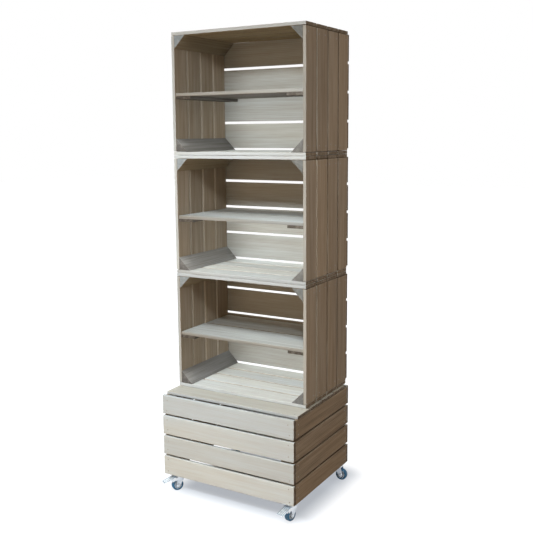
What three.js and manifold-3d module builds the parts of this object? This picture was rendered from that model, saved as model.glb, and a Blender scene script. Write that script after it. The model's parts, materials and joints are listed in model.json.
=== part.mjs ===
// Crate display rack: three open slatted crates with shelves, stacked on a crate base with casters.
// Millimetres, +Z up, front towards -Y. The origin is on the floor, below the middle of the outline.

import * as THREE from 'three';
import { mergeVertices } from 'three/addons/utils/BufferGeometryUtils.js';
import Module from 'manifold-3d';

const wasm = await Module();
wasm.setup();

// Clearances and joining depths
const fitGap = 0.3;
const sink = 1;
const overrun = 2;
const roundSteps = 40;
const smallRoundSteps = 20;
const boltHeadSides = 6;

// The three upper crates, which lie on a long side with the opening in front
const crateWidth = 500;
const crateHeight = 400;
const crateDepth = 300;
const boardThick = 11;
const crateRowCount = 4;
const crateRowGap = 8;
const postLeg = 43;

// Slats across the back of an upper crate
const backSlatCount = 4;
const backSlatThick = 9.5;
const backSlatGap = 8.4;
const backTopMargin = 10;
const backBottomMargin = 17.5;

// The crates from the top down. Each shelf's top lies its share of the crate's height above the bottom.
const crates = [
  { name: 'upper_crate', shelfShare: 0.51 },
  { name: 'middle_crate', shelfShare: 0.4925 },
  { name: 'lower_crate', shelfShare: 0.485 },
];
const shelfThick = 11;
const shelfBoardCount = 2;
const shelfBoardGap = 6;
const shelfInset = 2.5;
const cleatWidth = 58;
const cleatThick = 10;

// Base crate, which stands upside down with its slats level
const baseWidth = 508;
const baseDepth = 402;
const baseWallHeight = 281;
const baseRowCount = 4;
const baseRowGap = 7;
const topBoardCount = 4;
const topBoardThick = 10;
const topBoardGap = 7;
const topBoardRise = 6;
const topBoardSetback = 15;
const frontLedge = 98;
const bearerWidth = 70;
const bearerThick = 16;

// Caster places: how far each swivel stands in from the faces of the base
const casterInsetLeft = 46;
const casterInsetRight = 22;
const casterInsetFront = 30;
const casterInsetBack = 30;
const casterLeft = -baseWidth / 2 + casterInsetLeft;
const casterRight = baseWidth / 2 - casterInsetRight;
const casterFront = -baseDepth / 2 + casterInsetFront;
const casterBack = baseDepth / 2 - casterInsetBack;

// Each fork trails towards its heading, in degrees from +X about +Z. The front ones have brakes.
const casters = [
  { corner: 'front_left', x: casterLeft, y: casterFront, heading: -123, braked: true },
  { corner: 'front_right', x: casterRight, y: casterFront, heading: -101, braked: true },
  { corner: 'back_left', x: casterLeft, y: casterBack, heading: -24, braked: false },
  { corner: 'back_right', x: casterRight, y: casterBack, heading: 3, braked: false },
];

// Caster mounting plate with its ball race and kingpin
const casterHeight = 58;
const plateWidth = 40;
const plateLength = 50;
const plateThick = 2.2;
const screwHoleRadius = 2.3;
const screwHoleInset = 6;
const raceHeight = 5.5;
const raceTopRadius = 16;
const raceBottomRadius = 13;
const kingpinRadius = 4;
const kingpinHeadRadius = 7;
const kingpinHeadThick = 2;

// Caster fork
const trail = 12;
const crownRadius = 16;
const crownThick = 2.5;
const armThick = 2;
const armTopHalfWidth = 13;
const armBossRadius = 7;
const wheelSideGap = 0.9;

// Caster wheel and axle
const wheelRadius = 20;
const tyreWidth = 17;
const tyreEdge = 2.5;
const hubRadius = 13.5;
const hubRimThick = 2.5;
const hubRimWidth = 15;
const hubWebThick = 5;
const hubBossRadius = 6;
const axleRadius = 3;
const axleHeadRadius = 5;
const axleHeadThick = 2.5;

// Brake pedal on the two front casters
const pivotReach = 12;
const pivotHeight = 43;
const pivotPinRadius = 2;
const pivotEarRadius = 4.6;
const padSlope = THREE.MathUtils.degToRad(19);
const padBack = 5;
const padFront = 39;
const padThick = 1.8;
const padRise = pivotEarRadius + 2 * fitGap;
const padRibCount = 3;
const padRibWidth = 2.4;
const padRibHeight = 1;
const padRibEndMargin = 4;
const cheekThick = 1.5;
const cheekFront = 11;
const cheekDrop = 4.4;
const shoeStart = 8;
const shoeLength = 4;
const shoeWidth = 13;
const shoeGap = 2;

// Levels and places that follow from the sizes above
const baseBottom = casterHeight + fitGap;
const baseTop = baseBottom + baseWallHeight + topBoardRise;
const topBoardUnderside = baseTop - topBoardThick;
const crateFront = -baseDepth / 2 + frontLedge;
const crateCentreX = (crateWidth - baseWidth) / 2;
const armInner = tyreWidth / 2 + wheelSideGap;
const armOuter = armInner + armThick;
const crownTop = casterHeight - plateThick - raceHeight - fitGap;
const crownBottom = crownTop - crownThick;

// Finishes, as seen
function finish(color, roughness, metalness) {
  return new THREE.MeshStandardMaterial({ color, roughness, metalness, flatShading: true });
}

const finishes = {
  slat: finish(0xc4bfb5, 0.8, 0),
  backSlat: finish(0xb0aaa0, 0.82, 0),
  shelf: finish(0xaaa59c, 0.82, 0),
  tyre: finish(0x45647c, 0.6, 0),
  hub: finish(0x9b9ea2, 0.5, 0),
  zinc: finish(0xc9cdd0, 0.32, 1),
};

function toSolid(geometry) {
  const bare = geometry.clone();
  bare.deleteAttribute('normal');
  bare.deleteAttribute('uv');
  const merged = mergeVertices(bare);
  return new wasm.Manifold(new wasm.Mesh({
    numProp: 3,
    vertProperties: new Float32Array(merged.attributes.position.array),
    triVerts: new Uint32Array(merged.index.array),
  }));
}

function toGeometry(solid) {
  const mesh = solid.getMesh();
  const geometry = new THREE.BufferGeometry();
  geometry.setAttribute('position', new THREE.BufferAttribute(new Float32Array(mesh.vertProperties), 3));
  geometry.setIndex(new THREE.BufferAttribute(new Uint32Array(mesh.triVerts), 1));
  geometry.computeVertexNormals();
  return geometry;
}

function joined(geometries) {
  return geometries.map(toSolid).reduce((whole, piece) => whole.add(piece));
}

function withHoles(solid, geometries) {
  return geometries.map(toSolid).reduce((whole, piece) => whole.subtract(piece), solid);
}

function namedMesh(name, geometry, finishName) {
  const mesh = new THREE.Mesh(geometry, finishes[finishName]);
  mesh.name = name;
  return mesh;
}

// A block given by its two limits along each axis
function block([x0, x1], [y0, y1], [z0, z1]) {
  const geometry = new THREE.BoxGeometry(x1 - x0, y1 - y0, z1 - z0);
  return geometry.translate((x0 + x1) / 2, (y0 + y1) / 2, (z0 + z1) / 2);
}

// An outline in X and Z, extruded along Y between two limits
function extrudedAlongY(shape, [y0, y1]) {
  const options = { depth: y1 - y0, bevelEnabled: false, curveSegments: smallRoundSteps };
  const geometry = new THREE.ExtrudeGeometry(shape, options);
  return geometry.rotateX(Math.PI / 2).translate(0, y1, 0);
}

function outline(points) {
  return new THREE.Shape(points.map(([x, y]) => new THREE.Vector2(x, y)));
}

// A cylinder along Y, centred on X and Z, between two limits
function rodAlongY(radius, [y0, y1], x, z, steps = smallRoundSteps) {
  const geometry = new THREE.CylinderGeometry(radius, radius, y1 - y0, steps);
  return geometry.translate(x, (y0 + y1) / 2, z);
}

// Limits of equal rows with equal gaps that fill a length from its start to its end
function equalRows(start, end, count, gap) {
  const width = (end - start - gap * (count - 1)) / count;
  return Array.from({ length: count }, (_, index) => {
    const rowStart = start + index * (width + gap);
    return [rowStart, rowStart + width];
  });
}

// A wall of a crate: boards side by side along Y, nailed to a three-cornered post.
// The boards' inner face lies at Z = 0, and the post stands below it at the -X end.
function wall(length, rows, postSpan, postStart) {
  const boards = rows.map((row) => block([-length / 2, length / 2], row, [0, boardThick]));
  const post = extrudedAlongY(outline([
    [postStart, sink],
    [postStart + postLeg, sink],
    [postStart + postLeg, 0],
    [postStart, -postLeg],
  ]), postSpan);
  return toGeometry(joined([...boards, post]));
}

// Four walls around the Y axis. The first and third run the full width and cover the others' ends.
function crateWalls(prefix, sides, width, height, rowsOf, postSpan) {
  const group = new THREE.Group();
  sides.forEach((side, index) => {
    const isFullWidth = index % 2 === 0;
    const length = isFullWidth ? width : height - 2 * (boardThick + fitGap);
    const postStart = -length / 2 + (isFullWidth ? boardThick + fitGap : 0);
    const distance = (isFullWidth ? height : width) / 2 - boardThick;
    const geometry = wall(length, rowsOf(side), postSpan, postStart);
    const mesh = namedMesh(`${prefix}_${side}_slats`, geometry, 'slat');
    const angle = index * Math.PI / 2;
    mesh.rotation.y = angle;
    mesh.position.set(Math.sin(angle) * distance, 0, Math.cos(angle) * distance);
    group.add(mesh);
  });
  return group;
}

// Slats across the back of an upper crate, numbered from the top
function backSlats(prefix) {
  const rows = equalRows(
    -crateHeight / 2 + backBottomMargin,
    crateHeight / 2 - backTopMargin,
    backSlatCount,
    backSlatGap,
  ).reverse();
  const back = crateDepth + fitGap;
  return rows.map((row, index) => namedMesh(
    `${prefix}_back_slat_${index + 1}`,
    block([-crateWidth / 2, crateWidth / 2], [back, back + backSlatThick], row),
    'backSlat',
  ));
}

// A shelf: boards from side to side, nailed to a cleat under each end. Its top lies at Z = 0.
function shelf() {
  const halfLength = crateWidth / 2 - boardThick - fitGap;
  const span = [shelfInset, crateDepth - shelfInset];
  const boards = equalRows(...span, shelfBoardCount, shelfBoardGap).map(
    (row) => block([-halfLength, halfLength], row, [-shelfThick, 0]),
  );
  const cleatLevels = [-shelfThick - cleatThick, -shelfThick + sink];
  const cleats = [-halfLength, halfLength - cleatWidth].map(
    (start) => block([start, start + cleatWidth], span, cleatLevels),
  );
  return toGeometry(joined([...boards, ...cleats]));
}

function crate(name, shelfShare) {
  const group = crateWalls(
    name,
    ['top', 'right', 'bottom', 'left'],
    crateWidth,
    crateHeight,
    () => equalRows(0, crateDepth, crateRowCount, crateRowGap),
    [0, crateDepth],
  );
  group.add(...backSlats(name));
  const shelfMesh = namedMesh(`${name}_shelf`, shelf(), 'shelf');
  shelfMesh.position.z = shelfShare * crateHeight - crateHeight / 2;
  group.add(shelfMesh);
  return group;
}

// Base walls. The end walls stop under the top boards, and the long walls rise in front of them.
function baseRows(side) {
  const rows = equalRows(0, baseWallHeight, baseRowCount, baseRowGap);
  const carriesTop = side === 'left' || side === 'right';
  if (carriesTop) {
    rows[rows.length - 1][1] = topBoardUnderside - baseBottom - fitGap;
  }
  return rows;
}

function baseCrate() {
  const base = new THREE.Group();
  const postSpan = [bearerThick + fitGap, topBoardUnderside - baseBottom - fitGap];
  const sides = ['front', 'right', 'back', 'left'];
  const walls = crateWalls('base', sides, baseWidth, baseDepth, baseRows, postSpan);
  walls.rotation.x = Math.PI / 2;
  walls.position.z = baseBottom;
  base.add(walls);

  const boardEdge = baseDepth / 2 - boardThick - topBoardSetback;
  equalRows(-boardEdge, boardEdge, topBoardCount, topBoardGap).forEach((row, index) => {
    const board = block([-baseWidth / 2, baseWidth / 2], row, [topBoardUnderside, baseTop]);
    base.add(namedMesh(`base_top_board_${index + 1}`, board, 'slat'));
  });

  const bearerHalfLength = baseWidth / 2 - boardThick - fitGap;
  const bearerEdge = baseDepth / 2 - boardThick - fitGap;
  const bearerLevels = [baseBottom, baseBottom + bearerThick];
  const front = [-bearerEdge, -bearerEdge + bearerWidth];
  const back = [bearerEdge - bearerWidth, bearerEdge];
  Object.entries({ front, back }).forEach(([side, span]) => {
    const bearer = block([-bearerHalfLength, bearerHalfLength], span, bearerLevels);
    base.add(namedMesh(`base_${side}_caster_bearer`, bearer, 'backSlat'));
  });
  return base;
}

// Mounting plate with the upper half of the ball race and the kingpin that carries the fork
function casterPlate() {
  const plateBottom = casterHeight - plateThick;
  const raceBottom = plateBottom - raceHeight;
  const headTop = crownBottom - fitGap;
  const headBottom = headTop - kingpinHeadThick;
  const plateSpans = [plateWidth, plateLength].map((size) => [-size / 2, size / 2]);
  const plate = block(...plateSpans, [plateBottom, casterHeight]);
  const race = new THREE.LatheGeometry([
    new THREE.Vector2(0, headBottom),
    new THREE.Vector2(kingpinHeadRadius, headBottom),
    new THREE.Vector2(kingpinHeadRadius, headTop),
    new THREE.Vector2(kingpinRadius, headTop),
    new THREE.Vector2(kingpinRadius, raceBottom),
    new THREE.Vector2(raceBottomRadius, raceBottom),
    new THREE.Vector2(raceTopRadius, plateBottom),
    new THREE.Vector2(raceTopRadius, plateBottom + plateThick / 2),
    new THREE.Vector2(0, plateBottom + plateThick / 2),
  ], roundSteps).rotateX(Math.PI / 2);
  const holeX = plateWidth / 2 - screwHoleInset;
  const holeY = plateLength / 2 - screwHoleInset;
  const holes = [[-holeX, -holeY], [-holeX, holeY], [holeX, -holeY], [holeX, holeY]].map(([x, y]) => {
    const depth = plateThick + 2 * overrun;
    const drill = new THREE.CylinderGeometry(screwHoleRadius, screwHoleRadius, depth, smallRoundSteps);
    return drill.rotateX(Math.PI / 2).translate(x, y, casterHeight - plateThick / 2);
  });
  return toGeometry(withHoles(joined([plate, race]), holes));
}

// One arm of the fork, from under the crown down round the axle
function armShape() {
  const shape = new THREE.Shape();
  shape.moveTo(-armTopHalfWidth, crownBottom + sink);
  shape.lineTo(-armTopHalfWidth, crownBottom - sink);
  shape.lineTo(trail - armBossRadius, wheelRadius);
  shape.absarc(trail, wheelRadius, armBossRadius, Math.PI, 2 * Math.PI, false);
  shape.lineTo(armTopHalfWidth, crownBottom - sink);
  shape.lineTo(armTopHalfWidth, crownBottom + sink);
  return shape;
}

// The part of a braked arm that holds the pedal's pivot
function pivotEarShape() {
  const x = trail + pivotReach;
  return outline([
    [0, crownBottom + sink],
    [0, crownBottom - 2 * pivotEarRadius],
    [trail, pivotHeight - 2 * pivotEarRadius],
    [x, pivotHeight - pivotEarRadius],
    [x, pivotHeight + pivotEarRadius],
  ]);
}

function casterFork(braked) {
  const crown = new THREE.LatheGeometry([
    new THREE.Vector2(kingpinRadius + fitGap, crownBottom),
    new THREE.Vector2(crownRadius, crownBottom),
    new THREE.Vector2(crownRadius, crownTop),
    new THREE.Vector2(kingpinRadius + fitGap, crownTop),
    new THREE.Vector2(kingpinRadius + fitGap, crownBottom),
  ], roundSteps).rotateX(Math.PI / 2);
  const armSpans = [[-armOuter, -armInner], [armInner, armOuter]];
  const pieces = [crown, ...armSpans.map((span) => extrudedAlongY(armShape(), span))];
  const across = [-armOuter - overrun, armOuter + overrun];
  const holes = [rodAlongY(axleRadius + fitGap, across, trail, wheelRadius)];
  if (braked) {
    const pivotX = trail + pivotReach;
    armSpans.forEach((span) => {
      pieces.push(extrudedAlongY(pivotEarShape(), span));
      pieces.push(rodAlongY(pivotEarRadius, span, pivotX, pivotHeight));
    });
    holes.push(rodAlongY(pivotPinRadius + fitGap, across, pivotX, pivotHeight));
  }
  return toGeometry(withHoles(joined(pieces), holes));
}

// A ring turned about the Y axis, from its profile of radius and side position
function turnedRing(profile) {
  const points = profile.map(([radius, side]) => new THREE.Vector2(radius, side));
  return new THREE.LatheGeometry([...points, points[0].clone()], roundSteps);
}

function tyre() {
  const inner = hubRadius + fitGap;
  const half = tyreWidth / 2;
  return turnedRing([
    [inner, -half],
    [wheelRadius - tyreEdge, -half],
    [wheelRadius, -half + tyreEdge],
    [wheelRadius, half - tyreEdge],
    [wheelRadius - tyreEdge, half],
    [inner, half],
  ]);
}

function hub() {
  const bore = axleRadius + fitGap;
  const boss = armInner - fitGap;
  const web = hubWebThick / 2;
  const rim = hubRimWidth / 2;
  const rimInner = hubRadius - hubRimThick;
  return turnedRing([
    [bore, -boss],
    [hubBossRadius, -boss],
    [hubBossRadius, -web],
    [rimInner, -web],
    [rimInner, -rim],
    [hubRadius, -rim],
    [hubRadius, rim],
    [rimInner, rim],
    [rimInner, web],
    [hubBossRadius, web],
    [hubBossRadius, boss],
    [bore, boss],
  ]);
}

function axle() {
  const shoulder = armOuter + fitGap;
  const end = shoulder + axleHeadThick;
  return toGeometry(joined([
    rodAlongY(axleRadius, [-shoulder - sink, shoulder + sink], 0, 0),
    rodAlongY(axleHeadRadius, [-end, -shoulder], 0, 0, boltHeadSides),
    rodAlongY(axleHeadRadius, [shoulder, end], 0, 0, boltHeadSides),
  ]));
}

// The pedal in its own frame: the pivot at the origin and the pad along +X.
// The wheel's centre in that frame sets how far the brake shoe reaches.
function pedal() {
  const reach = -pivotReach;
  const drop = wheelRadius - pivotHeight;
  const wheelX = reach * Math.cos(padSlope) - drop * Math.sin(padSlope);
  const wheelZ = reach * Math.sin(padSlope) + drop * Math.cos(padSlope);
  const shoeBottom = wheelZ + Math.sqrt((wheelRadius + shoeGap) ** 2 - (shoeStart - wheelX) ** 2);
  const cheekInner = armOuter + fitGap;
  const padHalf = cheekInner + cheekThick;
  const padTop = padRise + padThick;
  const pad = block([-padBack, padFront], [-padHalf, padHalf], [padRise, padTop]);
  const cheeks = [[-padHalf, -cheekInner], [cheekInner, padHalf]].map(
    (span) => block([-padBack, cheekFront], span, [-cheekDrop, padRise + sink]),
  );
  const shoeSpan = [shoeStart, shoeStart + shoeLength];
  const shoe = block(shoeSpan, [-shoeWidth / 2, shoeWidth / 2], [shoeBottom, padRise + sink]);
  const ribSpan = [padRibEndMargin, padFront - padRibEndMargin];
  const ribs = Array.from({ length: padRibCount }, (_, index) => {
    const middle = padHalf * (2 * (index + 1) / (padRibCount + 1) - 1);
    const across = [middle - padRibWidth / 2, middle + padRibWidth / 2];
    return block(ribSpan, across, [padRise + sink, padTop + padRibHeight]);
  });
  const pin = rodAlongY(pivotPinRadius, [-cheekInner - sink, cheekInner + sink], 0, 0);
  return toGeometry(joined([pad, ...cheeks, shoe, ...ribs, pin]));
}

function caster({ corner, x, y, heading, braked }) {
  const prefix = `caster_${corner}`;
  const group = new THREE.Group();
  group.position.set(x, y, 0);
  group.add(namedMesh(`${prefix}_plate`, casterPlate(), 'zinc'));

  const swivel = new THREE.Group();
  swivel.rotation.z = THREE.MathUtils.degToRad(heading);
  swivel.add(namedMesh(`${prefix}_fork`, casterFork(braked), 'zinc'));
  if (braked) {
    const pedalMesh = namedMesh(`${prefix}_brake_pedal`, pedal(), 'zinc');
    pedalMesh.position.set(trail + pivotReach, 0, pivotHeight);
    pedalMesh.rotation.y = padSlope;
    swivel.add(pedalMesh);
  }
  const wheel = new THREE.Group();
  wheel.position.set(trail, 0, wheelRadius);
  wheel.add(namedMesh(`${prefix}_axle`, axle(), 'zinc'));
  wheel.add(namedMesh(`${prefix}_hub`, hub(), 'hub'));
  wheel.add(namedMesh(`${prefix}_tyre`, tyre(), 'tyre'));
  swivel.add(wheel);
  group.add(swivel);
  return group;
}

const rack = new THREE.Group();
rack.add(baseCrate());

crates.forEach(({ name, shelfShare }, index) => {
  const cratesBelow = crates.length - 1 - index;
  const bottom = baseTop + fitGap + cratesBelow * (crateHeight + fitGap);
  const group = crate(name, shelfShare);
  group.position.set(crateCentreX, crateFront, bottom + crateHeight / 2);
  rack.add(group);
});

rack.add(...casters.map(caster));

const bounds = new THREE.Box3().setFromObject(rack, true);
const middle = bounds.getCenter(new THREE.Vector3());
rack.position.set(-middle.x, -middle.y, -bounds.min.z);

export default rack;
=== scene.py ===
import json
import math
import random

import bpy
import numpy as np
from mathutils import Matrix, Vector

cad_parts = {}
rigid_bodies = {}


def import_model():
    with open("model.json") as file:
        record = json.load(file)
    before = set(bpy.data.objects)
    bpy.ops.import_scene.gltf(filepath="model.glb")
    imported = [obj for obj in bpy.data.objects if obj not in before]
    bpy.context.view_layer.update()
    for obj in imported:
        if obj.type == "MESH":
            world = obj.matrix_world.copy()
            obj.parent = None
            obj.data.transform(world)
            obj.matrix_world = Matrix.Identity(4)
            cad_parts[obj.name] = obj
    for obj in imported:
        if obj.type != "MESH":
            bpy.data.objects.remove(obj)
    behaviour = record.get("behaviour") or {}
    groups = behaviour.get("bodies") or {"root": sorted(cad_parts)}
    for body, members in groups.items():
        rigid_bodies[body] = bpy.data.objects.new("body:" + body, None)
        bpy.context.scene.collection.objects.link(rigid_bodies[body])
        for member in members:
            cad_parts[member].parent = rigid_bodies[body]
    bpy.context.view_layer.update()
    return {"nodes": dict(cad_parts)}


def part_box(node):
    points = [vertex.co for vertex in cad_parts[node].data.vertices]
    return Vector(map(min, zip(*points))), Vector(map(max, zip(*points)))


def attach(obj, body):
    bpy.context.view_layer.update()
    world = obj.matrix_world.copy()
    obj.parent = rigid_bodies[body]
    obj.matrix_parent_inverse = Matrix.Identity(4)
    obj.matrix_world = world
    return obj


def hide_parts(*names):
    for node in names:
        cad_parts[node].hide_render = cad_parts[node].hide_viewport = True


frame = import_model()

halfTurn = math.pi
quarterTurn = math.pi / 2

# Camera, where the photographer stood
cameraSettings = {
    "place": (1.3534, -2.2271, 1.2155),
    "yaw": -0.5307,
    "pitch": -0.1469,
    "roll": -0.0078,
    "lens": 53.17,
    "shiftY": -0.031,
    "clipEnd": 50,
}


def addCamera(s):
    ahead = Vector((math.sin(s["yaw"]) * math.cos(s["pitch"]),
                    math.cos(s["yaw"]) * math.cos(s["pitch"]),
                    math.sin(s["pitch"])))
    level = Vector((math.cos(s["yaw"]), -math.sin(s["yaw"]), 0))
    above = level.cross(ahead)
    right = level * math.cos(s["roll"]) + above * math.sin(s["roll"])
    up = above * math.cos(s["roll"]) - level * math.sin(s["roll"])
    turn = Matrix((right, up, -ahead)).transposed()
    camera = bpy.data.objects.new("camera", bpy.data.cameras.new("camera"))
    bpy.context.scene.collection.objects.link(camera)
    camera.matrix_world = Matrix.Translation(s["place"]) @ turn.to_4x4()
    camera.data.lens = s["lens"]
    camera.data.shift_y = s["shiftY"]
    camera.data.clip_end = s["clipEnd"]
    bpy.context.scene.camera = camera


addCamera(cameraSettings)
print("camera placed")

# Small helpers for the mesh work


def pickOnly(piece):
    bpy.ops.object.select_all(action="DESELECT")
    piece.select_set(True)
    bpy.context.view_layer.objects.active = piece


def addBlock(name, size, centre=(0, 0, 0)):
    bpy.ops.object.select_all(action="DESELECT")
    bpy.ops.mesh.primitive_cube_add(size=1, location=centre, scale=size)
    piece = bpy.context.object
    piece.name = piece.data.name = name
    bpy.ops.object.transform_apply(location=True, rotation=True, scale=True)
    return piece


def cutAcross(axis, places):        # loops at these places along one axis, edit mode
    for place in places:
        spot, normal = [0, 0, 0], [0, 0, 0]
        spot[axis], normal[axis] = place, 1
        bpy.ops.mesh.select_all(action="SELECT")
        bpy.ops.mesh.bisect(plane_co=spot, plane_no=normal)


def applyModifier(piece, kind, **values):
    modifier = piece.modifiers.new(kind.lower(), kind)
    for key, value in values.items():
        setattr(modifier, key, value)
    pickOnly(piece)
    bpy.ops.object.modifier_apply(modifier=modifier.name)


def smoothByAngle(piece, degrees):
    pickOnly(piece)
    bpy.ops.object.shade_smooth_by_angle(angle=math.radians(degrees))


def copyOf(stock, name, turn, place, share=1.0):
    pickOnly(stock)
    bpy.ops.object.duplicate(linked=False)
    piece = bpy.context.object
    piece.name = piece.data.name = name
    piece.scale = (share, 1, 1)
    piece.rotation_euler = turn
    piece.location = place
    bpy.ops.object.transform_apply(location=True, rotation=True, scale=True)
    return piece


def equalRows(start, end, count, gap):
    width = (end - start - gap * (count - 1)) / count
    return [(start + i * (width + gap), start + i * (width + gap) + width) for i in range(count)]


def pointArray(piece):
    co = np.zeros(len(piece.data.vertices) * 3, np.float32)
    piece.data.vertices.foreach_get("co", co)
    return co.reshape(-1, 3)


def setAttribute(piece, name, kind, values):
    data = piece.data.attributes.get(name) or piece.data.attributes.new(name, kind, "POINT")
    key = "vector" if kind == "FLOAT_VECTOR" else "value"
    data.data.foreach_set(key, np.asarray(values, np.float32).ravel())


def getVectors(piece, name):
    data = piece.data.attributes[name].data
    values = np.zeros(len(data) * 3, np.float32)
    data.foreach_get("vector", values)
    return values.reshape(-1, 3)


# Shader helpers


def newGroup(name, inputs, outputs):
    tree = bpy.data.node_groups.new(name, "ShaderNodeTree")
    for label, kind, value in inputs:
        socket = tree.interface.new_socket(label, in_out="INPUT", socket_type=kind)
        if value is not None:
            socket.default_value = value
    for label, kind in outputs:
        tree.interface.new_socket(label, in_out="OUTPUT", socket_type=kind)
    return tree, tree.nodes.new("NodeGroupInput"), tree.nodes.new("NodeGroupOutput")


def addNode(tree, kind, links=None, **values):
    node = tree.nodes.new(kind)
    for key, value in values.items():
        setattr(node, key, value)
    for key, source in (links or {}).items():
        socket = node.inputs[key]
        if isinstance(source, bpy.types.NodeSocket):
            tree.links.new(source, socket)
        else:
            socket.default_value = source
    return node


def mathNode(tree, operation, first, second=0.0, third=0.0, clamp=False):
    node = addNode(tree, "ShaderNodeMath", {0: first, 1: second, 2: third}, operation=operation)
    node.use_clamp = clamp
    return node.outputs[0]


def times(tree, first, second):
    return mathNode(tree, "MULTIPLY", first, second)


def vectorNode(tree, operation, first, second=(0, 0, 0)):
    return addNode(tree, "ShaderNodeVectorMath", {0: first, 1: second}, operation=operation).outputs[0]


def vectorLength(tree, source):
    return addNode(tree, "ShaderNodeVectorMath", {0: source}, operation="LENGTH").outputs["Value"]


def noiseOf(tree, place, scale, detail=2.0, roughness=0.5, output="Fac"):
    scaled = vectorNode(tree, "MULTIPLY", place, scale)
    return addNode(tree, "ShaderNodeTexNoise", {"Vector": scaled, "Scale": 1.0, "Detail": detail,
                                                "Roughness": roughness}).outputs[output]


def mapped(tree, value, low, high, toLow=0.0, toHigh=1.0, smooth=False):
    node = addNode(tree, "ShaderNodeMapRange", {"Value": value, "From Min": low, "From Max": high,
                                                "To Min": toLow, "To Max": toHigh})
    node.interpolation_type = "SMOOTHSTEP" if smooth else "LINEAR"
    return node.outputs[0]


def mixedColour(tree, factor, first, second, blend="MIX"):
    node = tree.nodes.new("ShaderNodeMix")
    node.data_type, node.blend_type = "RGBA", blend
    colourA, colourB = node.inputs[6], node.inputs[7]
    for socket, source in ((node.inputs["Factor"], factor), (colourA, first), (colourB, second)):
        if isinstance(source, bpy.types.NodeSocket):
            tree.links.new(source, socket)
        else:
            socket.default_value = source
    return node.outputs[2]


# Wood: growth rings and fibres in the board's own directions, under a thin grey wash.
# Place is along, across and through the board, in metres, shifted for each board.
grainSettings = {
    # how often each pattern comes in a metre along, across and through the board
    "knotScale": (3.2, 11.0, 4.0),
    "bendScale": (2.6, 9.0, 9.0),
    "fibreScale": (14.0, 620.0, 620.0),
    "fineScale": (4.0, 240.0, 240.0),
    "coarseScale": (4.0, 75.0, 75.0),
    "patchScale": (2.4, 13.0, 13.0),
    "driftScale": (1.6, 9.0, 9.0),
    # knots: how many cells hold one, how far it bends the rings, its core's soft edge, and how bare it lies
    "knotShare": 0.10,
    "knotReach": 0.30,
    "knotCore": (0.085, 0.045),
    "knotBare": 0.75,
    # rings: how far they wander, how many lie in a metre, how many a knot adds, and where the late wood is
    "wander": (0, 0.014, 0.014),
    "ringsInMetre": 210.0,
    "ringsAtKnot": 2.6,
    "lateStart": (0.35, 0.92),
    "lateEnd": (1.0, 0.93),
    # wash: how unevenly it lies, and which fibres stay bare
    "patchSpread": 0.30,
    "coarseSpread": 0.60,
    "fineSpread": 0.36,
    "bareFibres": (0.42, 0.72),
    # worn edges
    "wearPatches": (0.46, 0.62),
    "wearShare": 0.15,
    "wearColour": (0.72, 0.70, 0.66, 1),
    # tone: a slow drift from warm to cool, and each board's own tone
    "driftRange": (0.34, 0.66),
    "warm": (1.01, 0.992, 0.965, 1),
    "cool": (0.985, 1.005, 1.035, 1),
    "toneRange": (0.86, 1.08),
    # surface
    "roughness": 0.66,
    "fibreRoughness": 0.22,
    "fibreHeight": 0.6,
    "lateDepth": 0.35,
    "coarseHeight": 0.5,
}


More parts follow.
